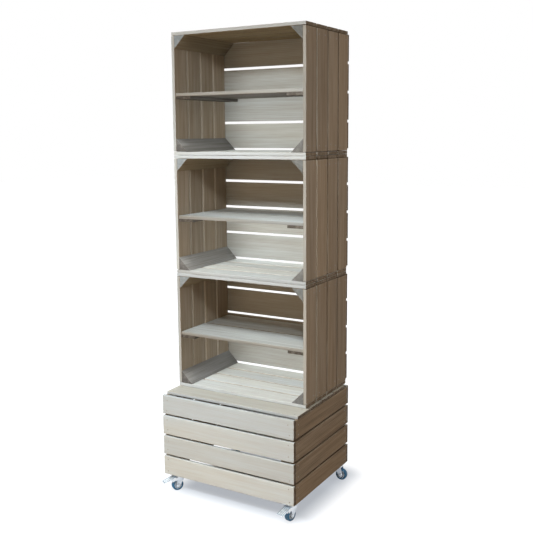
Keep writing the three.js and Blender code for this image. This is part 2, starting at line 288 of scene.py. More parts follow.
def makeWoodGroup(s):
    tree, given, out = newGroup(
        "washedWood",
        [("Place", "NodeSocketVector", None), ("Tone", "NodeSocketFloat", 0.5),
         ("Edge", "NodeSocketFloat", 0.0), ("Wash Colour", "NodeSocketColor", (0.6, 0.58, 0.53, 1)),
         ("Wood Colour", "NodeSocketColor", (0.3, 0.2, 0.12, 1)),
         ("Wash", "NodeSocketFloat", 0.8), ("Ring Strength", "NodeSocketFloat", 0.1),
         ("Fibre Strength", "NodeSocketFloat", 0.15), ("Knots", "NodeSocketFloat", 0.5),
         ("Streaks", "NodeSocketFloat", 1.0)],
        [("Colour", "NodeSocketColor"), ("Roughness", "NodeSocketFloat"), ("Height", "NodeSocketFloat")])
    place = given.outputs["Place"]

    def spread(noise, amount):        # from minus half the amount to plus half
        return mathNode(tree, "MULTIPLY_ADD", noise, amount, -amount / 2)

    # knots, few and far apart
    cellPlace = vectorNode(tree, "MULTIPLY", place, s["knotScale"])
    cells = addNode(tree, "ShaderNodeTexVoronoi", {"Vector": cellPlace, "Scale": 1.0, "Randomness": 1.0})
    chosen = addNode(tree, "ShaderNodeSeparateColor", {"Color": cells.outputs["Color"]})
    isKnot = mathNode(tree, "LESS_THAN", chosen.outputs[0], s["knotShare"])
    near = mapped(tree, cells.outputs["Distance"], s["knotReach"], 0.0, smooth=True)
    core = mapped(tree, cells.outputs["Distance"], *s["knotCore"], smooth=True)
    knotField = times(tree, times(tree, near, isKnot), given.outputs["Knots"])
    knotCore = times(tree, times(tree, core, isKnot), given.outputs["Knots"])

    # rings round the heart of the tree, bent a little along the board and round the knots
    bend = noiseOf(tree, place, s["bendScale"], output="Color")
    bend = vectorNode(tree, "SUBTRACT", bend, (0.5, 0.5, 0.5))
    bend = vectorNode(tree, "MULTIPLY", bend, s["wander"])
    radius = vectorLength(tree, vectorNode(tree, "ADD", bend, vectorNode(tree, "MULTIPLY", place, (0, 1, 1))))
    turns = mathNode(tree, "ADD", times(tree, radius, s["ringsInMetre"]),
                     times(tree, knotField, s["ringsAtKnot"]))
    phase = mathNode(tree, "FRACT", turns)
    late = times(tree, mapped(tree, phase, *s["lateStart"], smooth=True),
                 mapped(tree, phase, *s["lateEnd"], smooth=True))

    fibre = noiseOf(tree, place, s["fibreScale"], 3.0, 0.6)
    fine = noiseOf(tree, place, s["fineScale"])
    coarse = noiseOf(tree, place, s["coarseScale"], 3.0, 0.55)
    patch = noiseOf(tree, place, s["patchScale"])
    drift = noiseOf(tree, place, s["driftScale"], 1.5)

    # how much of the wood the wash covers
    uneven = mathNode(tree, "ADD", spread(patch, s["patchSpread"]), spread(coarse, s["coarseSpread"]))
    uneven = mathNode(tree, "ADD", uneven, spread(fine, s["fineSpread"]))
    cover = mathNode(tree, "MULTIPLY_ADD", uneven, given.outputs["Streaks"], given.outputs["Wash"])
    cover = mathNode(tree, "SUBTRACT", cover, times(tree, late, given.outputs["Ring Strength"]))
    bare = times(tree, mapped(tree, fibre, *s["bareFibres"]), given.outputs["Fibre Strength"])
    cover = mathNode(tree, "SUBTRACT", cover, bare)
    cover = mathNode(tree, "SUBTRACT", cover, times(tree, knotCore, s["knotBare"]), clamp=True)

    colour = mixedColour(tree, cover, given.outputs["Wood Colour"], given.outputs["Wash Colour"])
    coolShare = mapped(tree, drift, *s["driftRange"], smooth=True)
    colour = mixedColour(tree, 1.0, colour, mixedColour(tree, coolShare, s["warm"], s["cool"]), "MULTIPLY")
    tone = mapped(tree, given.outputs["Tone"], 0.0, 1.0, *s["toneRange"])
    toneColour = addNode(tree, "ShaderNodeCombineColor", {0: tone, 1: tone, 2: tone}).outputs[0]
    colour = mixedColour(tree, 1.0, colour, toneColour, "MULTIPLY")
    worn = times(tree, given.outputs["Edge"], mapped(tree, coarse, *s["wearPatches"]))
    colour = mixedColour(tree, times(tree, worn, s["wearShare"]), colour, s["wearColour"])
    rough = mathNode(tree, "ADD", times(tree, fibre, s["fibreRoughness"]), s["roughness"])
    height = mathNode(tree, "SUBTRACT", times(tree, fibre, s["fibreHeight"]),
                      times(tree, late, s["lateDepth"]))
    height = mathNode(tree, "ADD", height, times(tree, coarse, s["coarseHeight"]))
    tree.links.new(colour, out.inputs["Colour"])
    tree.links.new(rough, out.inputs["Roughness"])
    tree.links.new(height, out.inputs["Height"])
    return tree


# for each finish: the colours of wash and wood, how much the wash covers, how strong rings and knots
# show, and how unevenly the wash lies; several are copies painted with light or shade, as marked
woodFinishes = {
    "crateWood": {"wash": (0.77, 0.81, 0.79), "wood": (0.32, 0.25, 0.18), "cover": 0.9,
                  "rings": 0.12, "knots": 0.5, "streaks": 1.0},
    # painted shade: the lower faces of the top and deck boards, brown and dark as they look in shade
    "undersidePaintedShade": {"wash": (0.48, 0.385, 0.23), "wood": (0.16, 0.11, 0.06), "cover": 0.78,
                    "rings": 0.2, "knots": 0.4, "streaks": 1.6},
    # painted shade: the side walls' outer faces, browner and darker than the washed crate wood, for the shade
    # on them
    "outerSidePaintedShade": {"wash": (0.425, 0.36, 0.28), "wood": (0.14, 0.095, 0.055), "cover": 0.78,
                 "rings": 0.24, "knots": 0.4, "streaks": 1.2},
    "baseWood": {"wash": (0.54, 0.6, 0.62), "wood": (0.38, 0.33, 0.265), "cover": 0.9,
                 "rings": 0.08, "knots": 0.3, "streaks": 1.0},
    "deckWood": {"wash": (0.56, 0.565, 0.515), "wood": (0.33, 0.26, 0.18), "cover": 0.86,
                 "rings": 0.12, "knots": 0.3, "streaks": 1.0},
    # painted shade: the side walls' inner faces, brown and dark for the shade inside the crates, a little
    # lighter than the outer faces
    "innerSidePaintedShade": {"wash": (0.54, 0.455, 0.355), "wood": (0.17, 0.115, 0.065), "cover": 0.78,
                      "rings": 0.22, "knots": 0.4, "streaks": 1.15},
    # painted shade: the base's side slats, darker and browner than its front, for the shade on them
    "baseSidePaintedShade": {"wash": (0.385, 0.31, 0.225), "wood": (0.115, 0.08, 0.05), "cover": 0.76,
                     "rings": 0.22, "knots": 0.4, "streaks": 1.9},
    "backSlatWood": {"wash": (0.48, 0.505, 0.485), "wood": (0.22, 0.16, 0.105), "cover": 0.84,
                     "rings": 0.16, "knots": 0.8, "streaks": 1.0},
    "shelfWood": {"wash": (0.71, 0.77, 0.78), "wood": (0.24, 0.21, 0.175), "cover": 0.8,
                  "rings": 0.2, "knots": 0.6, "streaks": 1.3},
    # painted shade: the shelf boards' lower faces, dark for the shade under the shelf
    "shelfUndersidePaintedShade": {"wash": (0.27, 0.26, 0.25), "wood": (0.11, 0.085, 0.06), "cover": 0.8,
                       "rings": 0.2, "knots": 0.4, "streaks": 1.0},
    "edgeWood": {"wash": (0.48, 0.525, 0.545), "wood": (0.36, 0.32, 0.27), "cover": 0.92,
                 "rings": 0.05, "knots": 0.0, "streaks": 1.0},
    # painted shade: the shelf boards' sawn edges, darker than the crates' front edges
    "shelfEdgePaintedShade": {"wash": (0.42, 0.45, 0.455), "wood": (0.27, 0.235, 0.19), "cover": 0.92,
                      "rings": 0.05, "knots": 0.0, "streaks": 1.0},
    "leftEdgeWood": {"wash": (0.42, 0.44, 0.43), "wood": (0.27, 0.24, 0.2), "cover": 0.92,
                     "rings": 0.05, "knots": 0.0, "streaks": 1.0},
    # painted shade: the right walls' front edges, darker than the left walls' edges
    "rightEdgePaintedShade": {"wash": (0.345, 0.34, 0.31), "wood": (0.23, 0.195, 0.15), "cover": 0.92,
                      "rings": 0.05, "knots": 0.0, "streaks": 1.0},
    # painted light: the sawn edges seen in the side walls' gaps, pale
    "sideGapPaintedLight": {"wash": (0.6, 0.55, 0.46), "wood": (0.3, 0.23, 0.165), "cover": 0.85,
                    "rings": 0.05, "knots": 0.0, "streaks": 1.0},
    "gapEdgeWood": {"wash": (0.32, 0.27, 0.21), "wood": (0.15, 0.115, 0.08), "cover": 0.8,
                    "rings": 0.1, "knots": 0.0, "streaks": 1.0},
    # painted light: the sawn edges seen in the floor's gaps, pale
    "floorGapPaintedLight": {"wash": (0.6, 0.56, 0.5), "wood": (0.38, 0.32, 0.25), "cover": 0.85,
                     "rings": 0.1, "knots": 0.0, "streaks": 1.0},
    "crateEndWood": {"wash": (0.225, 0.175, 0.12), "wood": (0.1, 0.075, 0.05), "cover": 0.8,
                     "rings": 0.3, "knots": 0.0, "streaks": 1.0},
    "boardEndWood": {"wash": (0.15, 0.115, 0.08), "wood": (0.06, 0.045, 0.03), "cover": 0.8,
                     "rings": 0.3, "knots": 0.0, "streaks": 1.0},
    # painted shade: the upper posts' faces, browner than the lower posts' grey, for the shade they lie in
    "topPostPaintedShade": {"wash": (0.38, 0.31, 0.205), "wood": (0.15, 0.105, 0.06), "cover": 0.8,
                    "rings": 0.14, "knots": 0.1, "streaks": 1.0},
    # painted light and shade: the upper posts' sawn ends, darker end grain toned differently at each corner
    # for how light falls there
    "topLeftEndPaintedLightShade": {"wash": (0.28, 0.315, 0.33), "wood": (0.13, 0.13, 0.12), "cover": 0.82,
                       "rings": 0.3, "knots": 0.0, "streaks": 1.0},
    "topRightEndPaintedLightShade": {"wash": (0.19, 0.205, 0.205), "wood": (0.09, 0.09, 0.08), "cover": 0.82,
                        "rings": 0.3, "knots": 0.0, "streaks": 1.0},
    "postWood": {"wash": (0.33, 0.33, 0.32), "wood": (0.12, 0.1, 0.08), "cover": 0.78,
                 "rings": 0.16, "knots": 0.1, "streaks": 1.5},
    # painted light and shade: the lower posts' sawn ends, end grain toned for their corner
    "leftEndPaintedLightShade": {"wash": (0.14, 0.14, 0.14), "wood": (0.075, 0.065, 0.05), "cover": 0.8,
                    "rings": 0.3, "knots": 0.0, "streaks": 1.0},
    "rightEndPaintedLightShade": {"wash": (0.19, 0.2, 0.205), "wood": (0.1, 0.095, 0.08), "cover": 0.8,
                     "rings": 0.3, "knots": 0.0, "streaks": 1.0},
    # painted shade: the cleats under the shelf, dark all over for the shade there
    "cleatPaintedShade": {"wash": (0.15, 0.14, 0.125), "wood": (0.06, 0.05, 0.04), "cover": 0.75,
                  "rings": 0.3, "knots": 0.3, "streaks": 1.0},
    "bearerWood": {"wash": (0.36, 0.3, 0.235), "wood": (0.19, 0.135, 0.09), "cover": 0.75,
                   "rings": 0.2, "knots": 0.8, "streaks": 1.0},
}
# for each kind of board: its face, sawn ends, sawn edges and lower face
boardWoods = {
    "top": ("crateWood", "crateEndWood", "edgeWood", "undersidePaintedShade"),
    "bottom": ("crateWood", "crateEndWood", "edgeWood", "crateWood"),
    "leftSide": ("outerSidePaintedShade", "boardEndWood", "leftEdgeWood", "innerSidePaintedShade"),
    "rightSide": ("innerSidePaintedShade", "boardEndWood", "rightEdgePaintedShade", "outerSidePaintedShade"),
    "rightSideBack": ("innerSidePaintedShade", "boardEndWood", "rightEdgePaintedShade", "outerSidePaintedShade"),
    "back": ("backSlatWood", "boardEndWood", "backSlatWood", "backSlatWood"),
    "shelf": ("shelfWood", "boardEndWood", "shelfEdgePaintedShade", "shelfUndersidePaintedShade"),
    "cleat": ("cleatPaintedShade", "cleatPaintedShade", "cleatPaintedShade", "cleatPaintedShade"),
    "baseFront": ("baseWood", "boardEndWood", "baseWood", "baseWood"),
    "baseSide": ("baseSidePaintedShade", "boardEndWood", "baseSidePaintedShade", "baseSidePaintedShade"),
    "deck": ("deckWood", "boardEndWood", "edgeWood", "undersidePaintedShade"),
    "bearer": ("bearerWood", "boardEndWood", "bearerWood", "bearerWood"),
    "topLeftPost": ("topPostPaintedShade", "topLeftEndPaintedLightShade", "topPostPaintedShade", "topPostPaintedShade"),
    "topRightPost": ("topPostPaintedShade", "topRightEndPaintedLightShade", "topPostPaintedShade", "topPostPaintedShade"),
    "bottomLeftPost": ("postWood", "leftEndPaintedLightShade", "postWood", "postWood"),
    "bottomRightPost": ("postWood", "rightEndPaintedLightShade", "postWood", "postWood"),
}
# a board behind another one shows its sawn edge in the gap: painted light makes it pale in some gaps, and it
# is dark in the others
gapEdges = {
    "leftSide": "sideGapPaintedLight",
    "rightSide": "sideGapPaintedLight",
    "rightSideBack": "gapEdgeWood",
    "top": "gapEdgeWood",
    "bottom": "floorGapPaintedLight",
    "shelf": "gapEdgeWood",
    "deck": "gapEdgeWood",
}
woodSurface = {"bump": 0.55, "bumpDepth": 0.0006, "specular": 0.25}


def makeWoodMaterial(name, s, group):
    material = bpy.data.materials.new(name)
    material.use_nodes = True
    tree = material.node_tree
    shader = tree.nodes["Principled BSDF"]
    place = addNode(tree, "ShaderNodeAttribute", attribute_name="grainPlace")
    tone = addNode(tree, "ShaderNodeAttribute", attribute_name="boardTone")
    edge = addNode(tree, "ShaderNodeAttribute", attribute_name="edgeWear")
    wood = addNode(tree, "ShaderNodeGroup", node_tree=group)
    tree.links.new(place.outputs["Vector"], wood.inputs["Place"])
    tree.links.new(tone.outputs["Fac"], wood.inputs["Tone"])
    tree.links.new(edge.outputs["Fac"], wood.inputs["Edge"])
    wood.inputs["Wash Colour"].default_value = (*s["wash"], 1)
    wood.inputs["Wood Colour"].default_value = (*s["wood"], 1)
    for label, key in (("Wash", "cover"), ("Ring Strength", "rings"), ("Knots", "knots"),
                       ("Streaks", "streaks")):
        wood.inputs[label].default_value = s[key]
    bump = addNode(tree, "ShaderNodeBump", {"Strength": woodSurface["bump"],
                                            "Distance": woodSurface["bumpDepth"],
                                            "Height": wood.outputs["Height"]})
    tree.links.new(wood.outputs["Colour"], shader.inputs["Base Color"])
    tree.links.new(wood.outputs["Roughness"], shader.inputs["Roughness"])
    tree.links.new(bump.outputs["Normal"], shader.inputs["Normal"])
    shader.inputs["Specular IOR Level"].default_value = woodSurface["specular"]
    return material


woodGroup = makeWoodGroup(grainSettings)
woods = {name: makeWoodMaterial(name, s, woodGroup) for name, s in woodFinishes.items()}


# Metal, rubber and plastic: slow drifts of tone, fine speckle and a little dirt
speckleSettings = {
    "broadScale": (70.0, 70.0, 70.0),
    "stainPatches": (0.45, 0.70),
    "speckles": (0.55, 0.75),
    "speckleShare": 0.08,
    "bumpDepth": 0.0003,
}


def makeSpeckleGroup(s):
    tree, given, out = newGroup(
        "speckledSurface",
        [("Colour", "NodeSocketColor", (0.5, 0.5, 0.5, 1)),
         ("Stain Colour", "NodeSocketColor", (0.3, 0.3, 0.3, 1)),
         ("Stain", "NodeSocketFloat", 0.2), ("Roughness", "NodeSocketFloat", 0.4),
         ("Roughness Spread", "NodeSocketFloat", 0.15), ("Speckle Size", "NodeSocketFloat", 0.002)],
        [("Colour", "NodeSocketColor"), ("Roughness", "NodeSocketFloat"), ("Height", "NodeSocketFloat")])
    place = addNode(tree, "ShaderNodeTexCoord").outputs["Object"]
    fineScale = mathNode(tree, "DIVIDE", 1.0, given.outputs["Speckle Size"])
    fine = addNode(tree, "ShaderNodeTexNoise",
                   {"Vector": place, "Scale": fineScale, "Detail": 3.0}).outputs["Fac"]
    broad = noiseOf(tree, place, s["broadScale"])
    stain = times(tree, mapped(tree, broad, *s["stainPatches"], smooth=True), given.outputs["Stain"])
    stain = mathNode(tree, "ADD", stain, times(tree, mapped(tree, fine, *s["speckles"]), s["speckleShare"]))
    rough = mathNode(tree, "MULTIPLY_ADD", mathNode(tree, "SUBTRACT", fine, 0.5),
                     given.outputs["Roughness Spread"], given.outputs["Roughness"])
    colour = mixedColour(tree, stain, given.outputs["Colour"], given.outputs["Stain Colour"])
    tree.links.new(colour, out.inputs["Colour"])
    tree.links.new(rough, out.inputs["Roughness"])
    tree.links.new(fine, out.inputs["Height"])
    return tree


plainFinishes = {
    "zincSteel": {"colour": (0.70, 0.73, 0.76, 1), "stainColour": (0.42, 0.46, 0.50, 1), "stain": 0.5,
                  "roughness": 0.34, "spread": 0.2, "speckle": 0.003, "metal": 1.0, "bump": 0.1},
    "axleSteel": {"colour": (0.62, 0.64, 0.66, 1), "stainColour": (0.35, 0.37, 0.40, 1), "stain": 0.4,
                  "roughness": 0.30, "spread": 0.15, "speckle": 0.002, "metal": 1.0, "bump": 0.08},
    "nailSteel": {"colour": (0.36, 0.35, 0.33, 1), "stainColour": (0.22, 0.19, 0.16, 1), "stain": 0.6,
                  "roughness": 0.55, "spread": 0.2, "speckle": 0.002, "metal": 0.4, "bump": 0.1},
    "pedalSteel": {"colour": (0.86, 0.90, 0.93, 1), "stainColour": (0.56, 0.63, 0.70, 1), "stain": 0.5,
                   "roughness": 0.36, "spread": 0.2, "speckle": 0.003, "metal": 0.7, "bump": 0.1},
    # painted shade: the pedal pad's grooves between the ribs, a darker steel
    "groovePaintedShade": {"colour": (0.50, 0.58, 0.65, 1), "stainColour": (0.32, 0.38, 0.44, 1), "stain": 0.6,
                    "roughness": 0.45, "spread": 0.2, "speckle": 0.002, "metal": 0.8, "bump": 0.1},
    "tyreRubber": {"colour": (0.03, 0.165, 0.35, 1), "stainColour": (0.09, 0.19, 0.30, 1), "stain": 0.5,
                   "roughness": 0.52, "spread": 0.2, "speckle": 0.0015, "metal": 0.0, "bump": 0.15},
    "hubPlastic": {"colour": (0.55, 0.66, 0.78, 1), "stainColour": (0.34, 0.42, 0.50, 1), "stain": 0.4,
                   "roughness": 0.45, "spread": 0.15, "speckle": 0.0015, "metal": 0.0, "bump": 0.1},
}


def makePlainMaterial(name, s, group):
    material = bpy.data.materials.new(name)
    material.use_nodes = True
    tree = material.node_tree
    shader = tree.nodes["Principled BSDF"]
    surface = addNode(tree, "ShaderNodeGroup", node_tree=group)
    for label, key in (("Colour", "colour"), ("Stain Colour", "stainColour"), ("Stain", "stain"),
                       ("Roughness", "roughness"), ("Roughness Spread", "spread"),
                       ("Speckle Size", "speckle")):
        surface.inputs[label].default_value = s[key]
    bump = addNode(tree, "ShaderNodeBump", {"Strength": s["bump"], "Distance": speckleSettings["bumpDepth"],
                                            "Height": surface.outputs["Height"]})
    tree.links.new(surface.outputs["Colour"], shader.inputs["Base Color"])
    tree.links.new(surface.outputs["Roughness"], shader.inputs["Roughness"])
    tree.links.new(bump.outputs["Normal"], shader.inputs["Normal"])
    shader.inputs["Metallic"].default_value = s["metal"]
    return material


speckleGroup = makeSpeckleGroup(speckleSettings)
finishes = {name: makePlainMaterial(name, s, speckleGroup) for name, s in plainFinishes.items()}
print("materials made:", len(woods) + len(finishes))

# Boards. A stock board lies along X, and its copies are cut, turned and put in place.
boardSettings = {
    "edgeRound": 0.0009,        # bevel along the sawn edges
    "edgeBand": 0.006,          # how far wear reaches in from an edge
    "loopStep": 0.045,          # spacing of the loops along a board
    "endLoss": 0.0012,          # how much shorter a board may be cut at each end
    "hollow": 0.0007,           # how deep the surface waves go
    "waveSize": 0.07,
    "smoothAngle": 50,
    "middleTone": 0.5,
    "endFace": 0.5,             # how far a face looks along an axis, as its normal there, to count as an end
    "flatFace": 0.9,            # and to count as an edge or as the lower face
    # how far from the heart of the tree a board is cut: along the trunk, and to both sides
    "alongTree": (0, 9),
    "acrossTree": (0.05, 0.25),
    "throughTree": (0.01, 0.09),
}
boardAxes = {        # which axes run along, across and through a board as it lies
    "flatAcross": (0, 1, 2),
    "flatDeep": (1, 0, 2),
    "uprightAcross": (0, 2, 1),
    "uprightTall": (2, 1, 0),
    "uprightDeep": (1, 2, 0),
}
boardTurns = {
    "flatAcross": (0, 0, 0),                        # along X, face up
    "flatDeep": (0, 0, quarterTurn),                # along Y, face up
    "uprightAcross": (quarterTurn, 0, 0),           # along X, face to the front
    "uprightTall": (0, -quarterTurn, 0),            # along Z, face to the side
    "uprightDeep": (quarterTurn, 0, quarterTurn),   # along Y, face to the side
}
sawWaves = bpy.data.textures.new("sawWaves", "CLOUDS")
sawWaves.noise_scale = boardSettings["waveSize"]
boardRandom = random.Random(7)
stockBoards = {}


def markGrain(stock, halfSize):
    # the board's own directions for the grain, and how near each point is to an edge
    s = boardSettings
    points = pointArray(stock)
    setAttribute(stock, "grainPlace", "FLOAT_VECTOR", points)
    toFaces = np.sort(np.array(halfSize, np.float32) - np.abs(points), axis=1)
    setAttribute(stock, "edgeWear", "FLOAT", np.clip(1 - toFaces[:, 1] / s["edgeBand"], 0, 1))
    setAttribute(stock, "boardTone", "FLOAT", np.full(len(points), s["middleTone"]))
    for face in stock.data.polygons:        # face, sawn ends with their bevels, sawn edges, lower face
        n = face.normal
        face.material_index = 1 if abs(n.x) > s["endFace"] else 2 if abs(n.y) > s["flatFace"] \
            else 3 if n.z < -s["flatFace"] else 0


def stockBoard(length, width, thick):
    key = tuple(round(v, 4) for v in (length, width, thick))
    if key in stockBoards:
        return stockBoards[key]
    s = boardSettings
    stock = addBlock("stock", (length, width, thick))
    bpy.ops.object.mode_set(mode="EDIT")
    loops = max(2, round(length / s["loopStep"]))
    along = [length * (i / loops - 0.5) for i in range(1, loops)]
    cutAcross(0, [s["edgeBand"] - length / 2] + along + [length / 2 - s["edgeBand"]])
    cutAcross(1, [s["edgeBand"] - width / 2, -width / 6, width / 6, width / 2 - s["edgeBand"]])
    bpy.ops.object.mode_set(mode="OBJECT")
    applyModifier(stock, "BEVEL", width=s["edgeRound"], segments=2, limit_method="ANGLE")
    markGrain(stock, (length / 2, width / 2, thick / 2))
    smoothByAngle(stock, s["smoothAngle"])
    stockBoards[key] = stock
    return stock


def shiftGrain(piece):
    # each board comes from another place in the tree
    s, r = boardSettings, boardRandom
    shift = (r.uniform(*s["alongTree"]), r.choice((-1, 1)) * r.uniform(*s["acrossTree"]),
             r.choice((-1, 1)) * r.uniform(*s["throughTree"]))
    places = getVectors(piece, "grainPlace") + np.array(shift, np.float32)
    setAttribute(piece, "grainPlace", "FLOAT_VECTOR", places)
    setAttribute(piece, "boardTone", "FLOAT", np.full(len(piece.data.vertices), r.random()))


def finishWood(piece, kind, node, behind=False):
    applyModifier(piece, "DISPLACE", texture=sawWaves, texture_coords="GLOBAL", mid_level=1.0,
                  strength=boardSettings["hollow"])
    shiftGrain(piece)
    face, end, edge, under = boardWoods[kind]
    for wood in (face, end, gapEdges.get(kind, edge) if behind else edge, under):
        piece.data.materials.append(woods[wood])
    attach(piece, "stand")
    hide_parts(node)
    return piece


def layBoard(name, low, high, turn, kind, slot, node, behind=False):
    low, high = Vector(low), Vector(high)
    size, centre = high - low, (low + high) / 2
    along, across, through = boardAxes[turn]
    length = size[along]
    stock = stockBoard(length, size[across], size[through])
    losses = [boardRandom.uniform(0, boardSettings["endLoss"]) for _ in range(2)]
    centre[along] += (losses[0] - losses[1]) / 2
    board = copyOf(stock, name, boardTurns[turn], centre, 1 - sum(losses) / length)
    return finishWood(board, kind, node, behind)


# Corner posts: three-cornered, sawn from a square length
postSettings = {"leg": 0.043, "gap": 0.0003, "round": 0.0010, "loopStep": 0.05}
stockPosts = {}


def stockPost(length):
    key = round(length, 4)
    if key in stockPosts:
        return stockPosts[key]
    s = postSettings
    leg = s["leg"]
    stock = addBlock("stockPost", (length, leg, leg), (0, leg / 2, leg / 2))
    bpy.ops.object.mode_set(mode="EDIT")
    bpy.ops.mesh.select_all(action="SELECT")
    bpy.ops.mesh.bisect(plane_co=(0, leg, 0), plane_no=(0, 1, 1), use_fill=True, clear_outer=True)
    loops = max(2, round(length / s["loopStep"]))
    cutAcross(0, [length * (i / loops - 0.5) for i in range(1, loops)])
    bpy.ops.object.mode_set(mode="OBJECT")
    applyModifier(stock, "BEVEL", width=s["round"], segments=2, limit_method="ANGLE")
    markGrain(stock, (length / 2, leg, leg))
    smoothByAngle(stock, boardSettings["smoothAngle"])
    stockPosts[key] = stock
    return stock


def setPost(name, kind, corner, turn, length, node):
    post = copyOf(stockPost(length), name, turn, corner)
    return finishWood(post, kind, node)


# Nails: a flat round head a hair above the board, drawn once
nailSettings = {
    "radius": 0.0022,
    "proud": 0.0002,
    "sunk": 0.0012,
    "sides": 10,
    "headFace": 0.9,            # how far the head's face looks up
    "rim": 0.28,                # width of the rim, as a share of the radius
    "dent": 0.6,                # depth of the dent, as a share of what stands proud
    "fromEnd": 0.019,
    "fromSide": 0.014,
    "strayAlong": 0.003,
    "strayAcross": 0.004,
}
nailSpots = {}        # for each piece of nails: places and turns


def makeStockNail():
    s = nailSettings
    bpy.ops.object.select_all(action="DESELECT")
    bpy.ops.mesh.primitive_cylinder_add(vertices=s["sides"], radius=s["radius"], depth=s["sunk"] + s["proud"],
                                        location=(0, 0, (s["proud"] - s["sunk"]) / 2))
    nail = bpy.context.object
    bpy.ops.object.transform_apply(location=True, rotation=True, scale=True)
    bpy.ops.object.mode_set(mode="EDIT")
    bpy.ops.mesh.select_all(action="DESELECT")
    bpy.ops.object.mode_set(mode="OBJECT")
    for face in nail.data.polygons:
        face.select = face.normal.z > s["headFace"]
    bpy.ops.object.mode_set(mode="EDIT")
    bpy.ops.mesh.inset(thickness=s["radius"] * s["rim"])
    bpy.ops.transform.translate(value=(0, 0, -s["proud"] * s["dent"]))
    bpy.ops.object.mode_set(mode="OBJECT")
    return nail


nailTurns = {
    "up": (0, 0, 0),
    "down": (halfTurn, 0, 0),
    "front": (quarterTurn, 0, 0),
    "back": (-quarterTurn, 0, 0),
    "right": (0, quarterTurn, 0),
    "left": (0, -quarterTurn, 0),
}


def nailBoard(name, low, high, turn, outward):
    # two nails at each end of a board, through its outer face
    along, across, through = boardAxes[turn]
    s = nailSettings
    surface = high[through] - boardSettings["hollow"] / 2 if outward in ("up", "back", "right") \
        else low[through] + boardSettings["hollow"] / 2
    for end in (low[along] + s["fromEnd"], high[along] - s["fromEnd"]):
        for side in (low[across] + s["fromSide"], high[across] - s["fromSide"]):
            spot = [0, 0, 0]
            spot[along] = end + boardRandom.uniform(-s["strayAlong"], s["strayAlong"])
            spot[across] = side + boardRandom.uniform(-s["strayAcross"], s["strayAcross"])
            spot[through] = surface
            nailSpots.setdefault(name, []).append((spot, nailTurns[outward]))


# The three crates
crateSettings = {
    "names": ("upper_crate", "middle_crate", "lower_crate"),
    "thick": 0.011,
    "rows": 4,
    "rowGap": 0.008,
    "backSlats": 4,
    "paintedLightGaps": 1,              # how many gaps of a right wall, from the front, get painted light
    "shelfThick": 0.011,
    "shelfGap": 0.006,
    "cleatWidth": 0.058,
}


def buildCrate(name):
    s = crateSettings
    thick, gap = s["thick"], postSettings["gap"]
    topLow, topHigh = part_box(f"{name}_top_slats")
    bottomLow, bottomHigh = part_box(f"{name}_bottom_slats")
    leftLow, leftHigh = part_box(f"{name}_left_slats")
    rightLow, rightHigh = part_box(f"{name}_right_slats")
    rows = equalRows(topLow.y, topHigh.y, s["rows"], s["rowGap"])
    for i, (front, back) in enumerate(rows, 1):
        rightKind = "rightSide" if i <= s["paintedLightGaps"] + 1 else "rightSideBack"
        lay = [
            ("top", (topLow.x, front, topHigh.z - thick), (topHigh.x, back, topHigh.z),
             "flatAcross", "top", "up"),
            ("bottom", (bottomLow.x, front, bottomLow.z), (bottomHigh.x, back, bottomLow.z + thick),
             "flatAcross", "bottom", "down"),
            ("left", (leftLow.x, front, leftLow.z), (leftLow.x + thick, back, leftHigh.z),
             "uprightTall", "leftSide", "left"),
            ("right", (rightHigh.x - thick, front, rightLow.z), (rightHigh.x, back, rightHigh.z),
             "uprightTall", rightKind, "right"),
        ]
        for side, low, high, turn, kind, outward in lay:
            layBoard(f"{name}_{side}_board_{i}", low, high, turn, kind, "crate_wood",
                     f"{name}_{side}_slats", i > 1)
            nailBoard(f"{name}_nails", low, high, turn, outward)
    for i in range(1, s["backSlats"] + 1):
        low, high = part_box(f"{name}_back_slat_{i}")
        layBoard(f"{name}_back_board_{i}", low, high, "uprightAcross", "back", "back_slat_wood",
                 f"{name}_back_slat_{i}")
        nailBoard(f"{name}_nails", low, high, "uprightAcross", "back")

    # posts, turned round the long axis so that the square corner lies in the crate's corner
    depth = topHigh.y - topLow.y
    middle = (topLow.y + topHigh.y) / 2
    corners = [
        ("top", "left", (topLow.x + thick + gap, middle, topHigh.z - thick), 0),
        ("right", "right", (rightHigh.x - thick, middle, rightHigh.z), 1),
        ("bottom", "right", (bottomHigh.x - thick - gap, middle, bottomLow.z + thick), 2),
        ("left", "left", (leftLow.x + thick, middle, leftLow.z), 3),
    ]
    for wall, side, corner, quarters in corners:
        turn = (Matrix.Rotation((quarters + 2) * quarterTurn, 4, "Y")
                @ Matrix.Rotation(quarterTurn, 4, "Z")).to_euler()
        level = "top" if quarters < 2 else "bottom"
        setPost(f"{name}_{level}_{side}_post", f"{level}{side.capitalize()}Post", corner, turn, depth,
                f"{name}_{wall}_slats")

    # the shelf, two boards on a cleat at each end
    low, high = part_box(f"{name}_shelf")
    under = high.z - s["shelfThick"]
    for label, (front, back) in zip(("front", "back"), equalRows(low.y, high.y, 2, s["shelfGap"])):
        ends = (low.x, front, under), (high.x, back, high.z)
        layBoard(f"{name}_shelf_{label}_board", *ends, "flatAcross", "shelf", "shelf_wood", f"{name}_shelf",
                 label == "back")
        nailBoard(f"{name}_nails", *ends, "flatAcross", "up")
    for label, start in (("left", low.x), ("right", high.x - s["cleatWidth"])):
        ends = (start, low.y, low.z), (start + s["cleatWidth"], high.y, under)
        layBoard(f"{name}_shelf_{label}_cleat", *ends, "flatDeep", "cleat", "shelf_wood", f"{name}_shelf")


for crateName in crateSettings["names"]:
    buildCrate(crateName)
print("crates built")

# The base, an upturned crate with boards across its top
baseSettings = {"thick": 0.011, "rows": 4, "rowGap": 0.007, "topBoards": 4}


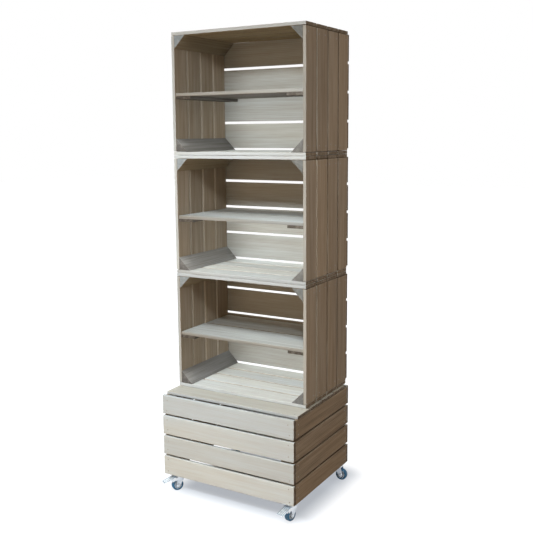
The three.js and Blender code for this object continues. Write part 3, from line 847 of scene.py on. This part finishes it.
def buildBase():
    s = baseSettings
    thick, gap = s["thick"], postSettings["gap"]
    frontLow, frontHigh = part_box("base_front_slats")
    backLow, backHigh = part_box("base_back_slats")
    leftLow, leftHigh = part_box("base_left_slats")
    rightLow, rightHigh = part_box("base_right_slats")
    rows = equalRows(frontLow.z, frontHigh.z, s["rows"], s["rowGap"])
    for i, (under, top) in enumerate(reversed(rows), 1):
        sideTop = min(top, leftHigh.z)
        lay = [
            ("front", (frontLow.x, frontLow.y, under), (frontHigh.x, frontLow.y + thick, top),
             "uprightAcross", "baseFront"),
            ("back", (backLow.x, backHigh.y - thick, under), (backHigh.x, backHigh.y, top),
             "uprightAcross", "baseFront"),
            ("left", (leftLow.x, leftLow.y, under), (leftLow.x + thick, leftHigh.y, sideTop),
             "uprightDeep", "baseSide"),
            ("right", (rightHigh.x - thick, rightLow.y, under), (rightHigh.x, rightHigh.y, sideTop),
             "uprightDeep", "baseSide"),
        ]
        for side, low, high, turn, kind in lay:
            layBoard(f"base_{side}_slat_{i}", low, high, turn, kind, "base_wood", f"base_{side}_slats")
            nailBoard("base_nails", low, high, turn, side)
    for i in range(1, s["topBoards"] + 1):
        low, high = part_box(f"base_top_board_{i}")
        layBoard(f"base_deck_board_{i}", low, high, "flatAcross", "deck", "base_wood",
                 f"base_top_board_{i}", i > 1)
        nailBoard("base_nails", low, high, "flatAcross", "up")
    for side in ("front", "back"):
        low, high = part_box(f"base_{side}_caster_bearer")
        layBoard(f"base_{side}_bearer", low, high, "flatAcross", "bearer", "bearer_wood",
                 f"base_{side}_caster_bearer")

    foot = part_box("base_front_caster_bearer")[1].z + gap
    length = leftHigh.z - foot
    middle = (leftHigh.z + foot) / 2
    corners = [
        ("front", "front_left", (frontLow.x + thick + gap, frontLow.y + thick, middle), 0),
        ("right", "front_right", (rightHigh.x - thick, rightLow.y, middle), 1),
        ("back", "back_right", (backHigh.x - thick - gap, backHigh.y - thick, middle), 2),
        ("left", "back_left", (leftLow.x + thick, leftHigh.y, middle), 3),
    ]
    for wall, corner, place, quarters in corners:
        turn = (Matrix.Rotation((quarters - 1) * quarterTurn, 4, "Z")
                @ Matrix.Rotation(-quarterTurn, 4, "Y")).to_euler()
        setPost(f"base_{corner}_post", "bottomLeftPost", place, turn, length,
                f"base_{wall}_slats")


buildBase()
print("base built")


def driveNails():
    stock = makeStockNail()
    stock.data.materials.append(finishes["nailSteel"])
    for name, spots in nailSpots.items():
        heads = [copyOf(stock, name, turn, place) for place, turn in spots]
        bpy.ops.object.select_all(action="DESELECT")
        for head in heads:
            head.select_set(True)
        bpy.context.view_layer.objects.active = heads[0]
        bpy.ops.object.join()
        nails = bpy.context.object
        nails.name = nails.data.name = name
        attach(nails, "stand")
    bpy.data.objects.remove(stock)


driveNails()
print("nails driven:", sum(len(v) for v in nailSpots.values()))

# Casters: each solid is copied and its edges are rounded
casterSettings = {
    "corners": ("front_left", "front_right", "back_left", "back_right"),
    "weld": 0.00002,
    "flatAngle": 1,             # faces that meet at less than this become one
    "bevelAngle": 40,
    "grooveDepth": 0.0005,
    "padFaces": 0.5,            # how far up a face of the pad looks, as the z of its normal
    "padAlign": 0.995,          # and how near it is to the pad's slope, as a cosine
    "pieces": {
        "plate": {"finish": "zincSteel", "slot": "zinc_steel", "round": 0.0005, "rides": "stand"},
        "fork": {"finish": "zincSteel", "slot": "zinc_steel", "round": 0.0004, "rides": "{}_fork"},
        "axle": {"finish": "axleSteel", "slot": "axle_steel", "round": 0.0005, "rides": "{}_fork"},
        "hub": {"finish": "hubPlastic", "slot": "hub", "round": 0.0005, "rides": "{}_wheel"},
        "tyre": {"finish": "tyreRubber", "slot": "tyre", "round": 0.0012, "rides": "{}_wheel"},
        "brake_pedal": {"finish": "pedalSteel", "slot": "zinc_steel", "round": 0.0003, "rides": "{}_pedal"},
    },
}


def dressSolid(node, name, s, body):
    solid = frame["nodes"][node]
    piece = bpy.data.objects.new(name, solid.data.copy())
    bpy.context.scene.collection.objects.link(piece)
    pickOnly(piece)
    bpy.ops.object.mode_set(mode="EDIT")
    bpy.ops.mesh.select_all(action="SELECT")
    bpy.ops.mesh.remove_doubles(threshold=casterSettings["weld"])
    bpy.ops.mesh.dissolve_limited(angle_limit=math.radians(casterSettings["flatAngle"]))
    bpy.ops.object.mode_set(mode="OBJECT")
    applyModifier(piece, "BEVEL", width=s["round"], segments=2, limit_method="ANGLE",
                  angle_limit=math.radians(casterSettings["bevelAngle"]))
    smoothByAngle(piece, casterSettings["bevelAngle"])
    piece.data.materials.clear()
    piece.data.materials.append(finishes[s["finish"]])
    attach(piece, body)
    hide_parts(node)
    return piece


def paintGrooveShade(pedal):        # painted shade on the pad between its ribs
    s = casterSettings
    pedal.data.materials.append(finishes["groovePaintedShade"])
    faces = [face for face in pedal.data.polygons if face.normal.z > s["padFaces"]]
    above = max(faces, key=lambda face: face.area).normal.copy()
    level = [face for face in faces if face.normal.dot(above) > s["padAlign"]]
    top = max(face.center.dot(above) for face in level)
    for face in level:
        if face.center.dot(above) < top - s["grooveDepth"]:
            face.material_index = 1


for corner in casterSettings["corners"]:
    for part, partSettings in casterSettings["pieces"].items():
        node = f"caster_{corner}_{part}"
        if node in frame["nodes"]:
            body = partSettings["rides"].format(corner)
            piece = dressSolid(node, f"{corner}_caster_{part}", partSettings, body)
            if part == "brake_pedal":
                paintGrooveShade(piece)
print("casters dressed")

for stock in list(stockBoards.values()) + list(stockPosts.values()):
    bpy.data.objects.remove(stock)

# Floor, light and world
lightSettings = {
    "world": (1.0, 0.77, 0.54, 1),
    "worldLevel": 0.25,
    "key": {"place": (-0.40, -1.60, 2.05), "aim": (-0.15, -0.15, 0.22), "size": (1.3, 0.22),
            "power": 15.5, "spread": 97, "colour": (0.93, 0.98, 1.0)},
    "keyRight": {"place": (0.90, -1.60, 2.05), "aim": (-0.10, -0.10, 0.40), "size": (0.22, 0.22),
                 "power": 3.6, "spread": 97, "colour": (0.93, 0.98, 1.0)},
    "shelf": {"place": (0.60, -0.955, 2.107), "aim": (0, 0.03, 0.54), "size": (0.4, 0.4),
              "power": 2.6, "spread": 60, "colour": (0.90, 0.97, 1.0)},
    "fill": {"place": (-0.45, -4.0, 0.9), "aim": (0, 0, 0.8), "size": (2.5, 2.5),
             "power": 36, "spread": 180, "colour": (1.0, 0.67, 0.41)},
    "side": {"place": (4.0, 1.2, 1.9), "aim": (0, 0, 1.2), "size": (1.5, 1.5),
             "power": 2.0, "spread": 55, "colour": (1.0, 0.88, 0.80)},
    "back": {"place": (-1.6, 3.4, 1.9), "aim": (0, 0, 0.7), "size": (2.2, 2.2),
             "power": 40, "spread": 180, "colour": (1.0, 0.95, 0.88)},
}
lampNames = ("key", "keyRight", "shelf", "fill", "side", "back")


def addAreaLight(name, s):
    lamp = bpy.data.lights.new(name, "AREA")
    lamp.shape = "ELLIPSE"
    lamp.size, lamp.size_y = s["size"]
    lamp.energy, lamp.color = s["power"], s["colour"]
    lamp.spread = math.radians(s["spread"])
    light = bpy.data.objects.new(name, lamp)
    bpy.context.scene.collection.objects.link(light)
    light.location = s["place"]
    light.rotation_euler = (Vector(s["aim"]) - Vector(s["place"])).to_track_quat("-Z", "Y").to_euler()
    light.visible_camera = False
    return light


def shelvesAs(name, state):
    linked = bpy.data.collections.new(name)
    for piece in list(bpy.context.scene.objects):
        if "_shelf_" in piece.name:
            linked.objects.link(piece)
    for entry in linked.collection_objects:
        entry.light_linking.link_state = state
    return linked


def shareLight(lamps):
    # as in the photo, the shelves cast no shadow in these lamps' light, and a steeper lamp lights their faces
    passed = shelvesAs("letPast", "EXCLUDE")
    for name in ("key", "keyRight", "shelf"):
        lamps[name].light_linking.blocker_collection = passed
    lamps["key"].light_linking.receiver_collection = shelvesAs("keyLit", "EXCLUDE")
    lamps["shelf"].light_linking.receiver_collection = shelvesAs("shelfLit", "INCLUDE")


floorSettings = {
    "size": 30,
    "colour": (0.16, 0.18, 0.21, 1),        # as seen
    "bounceColour": (0.42, 0.33, 0.25, 1),  # as it lights the wood
    # what it sends out of itself, added up, paints the base's shadow: nothing under the base, a cool grey
    # round it, and white further off
    "hollow": {"centre": (-0.05, 0.09), "half": (0.15, 0.075), "reach": 0.05, "glow": (0.415, 0.44, 0.478)},
    "around": {"centre": (0.015, 0.052), "half": (0.197, 0.166), "reach": 0.118, "glow": (0.60, 0.58, 0.55)},
}


def addFloor(s):
    bpy.ops.object.select_all(action="DESELECT")
    bpy.ops.mesh.primitive_plane_add(size=s["size"], location=(0, 0, 0))
    floor = bpy.context.object
    floor.name = "floor"
    material = bpy.data.materials.new("floorPaper")
    material.use_nodes = True
    tree = material.node_tree
    tree.nodes.clear()
    path = addNode(tree, "ShaderNodeLightPath")
    seen = mathNode(tree, "MAXIMUM", path.outputs["Is Camera Ray"], path.outputs["Is Glossy Ray"])
    colour = mixedColour(tree, seen, s["bounceColour"], s["colour"])
    diffuse = addNode(tree, "ShaderNodeBsdfDiffuse", {"Color": colour})
    place = addNode(tree, "ShaderNodeTexCoord").outputs["Object"]

    def glowPast(r):        # a glow that grows with the distance from a rectangle, leaving painted shadow near it
        offset = vectorNode(tree, "ABSOLUTE", vectorNode(tree, "SUBTRACT", place, (*r["centre"], 0)))
        past = vectorNode(tree, "MAXIMUM", vectorNode(tree, "SUBTRACT", offset, (*r["half"], 0)))
        share = mapped(tree, vectorLength(tree, past), 0.0, r["reach"], smooth=True)
        return addNode(tree, "ShaderNodeVectorMath", {0: r["glow"], "Scale": share},
                       operation="SCALE").outputs[0]

    # the two glows leave a painted shadow round and under the base
    light = vectorNode(tree, "ADD", glowPast(s["hollow"]), glowPast(s["around"]))
    glow = addNode(tree, "ShaderNodeEmission", {"Color": light, "Strength": seen})
    both = addNode(tree, "ShaderNodeAddShader", {0: diffuse.outputs[0], 1: glow.outputs[0]})
    output = tree.nodes.new("ShaderNodeOutputMaterial")
    tree.links.new(both.outputs[0], output.inputs["Surface"])
    floor.data.materials.append(material)


def addWorld(s):
    world = bpy.data.worlds.new("world")
    bpy.context.scene.world = world
    world.use_nodes = True
    tree = world.node_tree
    tree.nodes.clear()
    path = addNode(tree, "ShaderNodeLightPath")
    seen = mathNode(tree, "MAXIMUM", path.outputs["Is Camera Ray"], path.outputs["Is Glossy Ray"])
    seen = mathNode(tree, "MAXIMUM", seen, path.outputs["Is Transmission Ray"])
    ambient = addNode(tree, "ShaderNodeBackground", {"Color": s["world"], "Strength": s["worldLevel"]})
    white = addNode(tree, "ShaderNodeBackground", {"Color": (1, 1, 1, 1), "Strength": 1.0})
    mix = addNode(tree, "ShaderNodeMixShader", {0: seen, 1: ambient.outputs[0], 2: white.outputs[0]})
    output = tree.nodes.new("ShaderNodeOutputWorld")
    tree.links.new(mix.outputs[0], output.inputs["Surface"])


shareLight({name: addAreaLight(name, lightSettings[name]) for name in lampNames})
addFloor(floorSettings)
addWorld(lightSettings)
bpy.context.scene.view_settings.view_transform = "Standard"
print("floor and light set")
